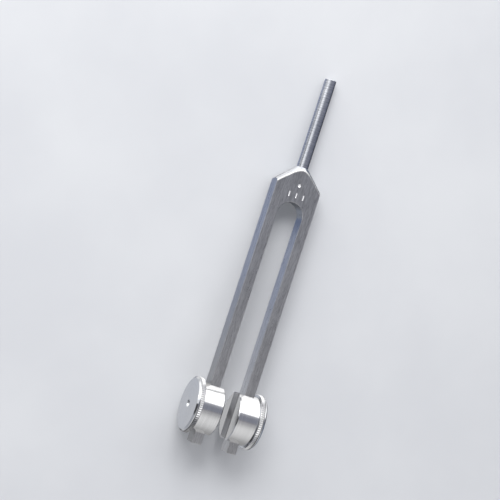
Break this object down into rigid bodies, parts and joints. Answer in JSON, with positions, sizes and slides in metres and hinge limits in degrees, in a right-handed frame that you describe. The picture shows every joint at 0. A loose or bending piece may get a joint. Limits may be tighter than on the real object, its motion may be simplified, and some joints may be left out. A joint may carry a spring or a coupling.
{
  "type": "tuning fork",
  "caption": "Weighted tuning fork with a round stem, conical shoulders, square-edged tines and slotted round weights held on by knurled thumbscrews.",
  "frame": {"origin": "centre of the stem's flat foot", "axes": "+Y from the foot to the free ends of the tines, +X to the right when the front face is seen with the tines up, +Z out of the front face"},
  "size_m": [0.0404, 0.21, 0.0308],
  "materials": {
    "fork_aluminium": "milled and brushed lengthwise on the flats, turned and polished on the stem and shoulders",
    "weight_aluminium": "fine turned",
    "screw_head_aluminium": "turned face with a straight knurled edge",
    "stud_steel": "rolled thread, bright"
  },
  "bodies": {
    "fork": {"fork_body": "fork_aluminium"},
    "weight_right_body": {"weight_right": "weight_aluminium"},
    "thumbscrew_right": {"thumbscrew_head_right": "screw_head_aluminium", "thumbscrew_stud_right": "stud_steel"},
    "weight_left_body": {"weight_left": "weight_aluminium"},
    "thumbscrew_left": {"thumbscrew_head_left": "screw_head_aluminium", "thumbscrew_stud_left": "stud_steel"}
  },
  "joints": [
    {"name": "weight_right_draw_off", "type": "slide", "parent": "fork", "child": "weight_right_body", "axis": [1, 0, 0], "range_m": [0, 0.005]},
    {"name": "thumbscrew_right_turn", "type": "hinge", "parent": "weight_right_body", "child": "thumbscrew_right", "pos_m": [0.0165, 0.1907, 0], "axis": [1, 0, 0], "range_deg": [0, 1800]},
    {"name": "weight_left_draw_off", "type": "slide", "parent": "fork", "child": "weight_left_body", "axis": [-1, 0, 0], "range_m": [0, 0.005]},
    {"name": "thumbscrew_left_turn", "type": "hinge", "parent": "weight_left_body", "child": "thumbscrew_left", "pos_m": [-0.0165, 0.1907, 0], "axis": [-1, 0, 0], "range_deg": [0, 1800]}
  ],
  "couplings": [
    {"joint": "thumbscrew_right_turn", "follows": "weight_right_draw_off", "rad_per_m": 6283.2},
    {"joint": "thumbscrew_left_turn", "follows": "weight_left_draw_off", "rad_per_m": 6283.2}
  ]
}
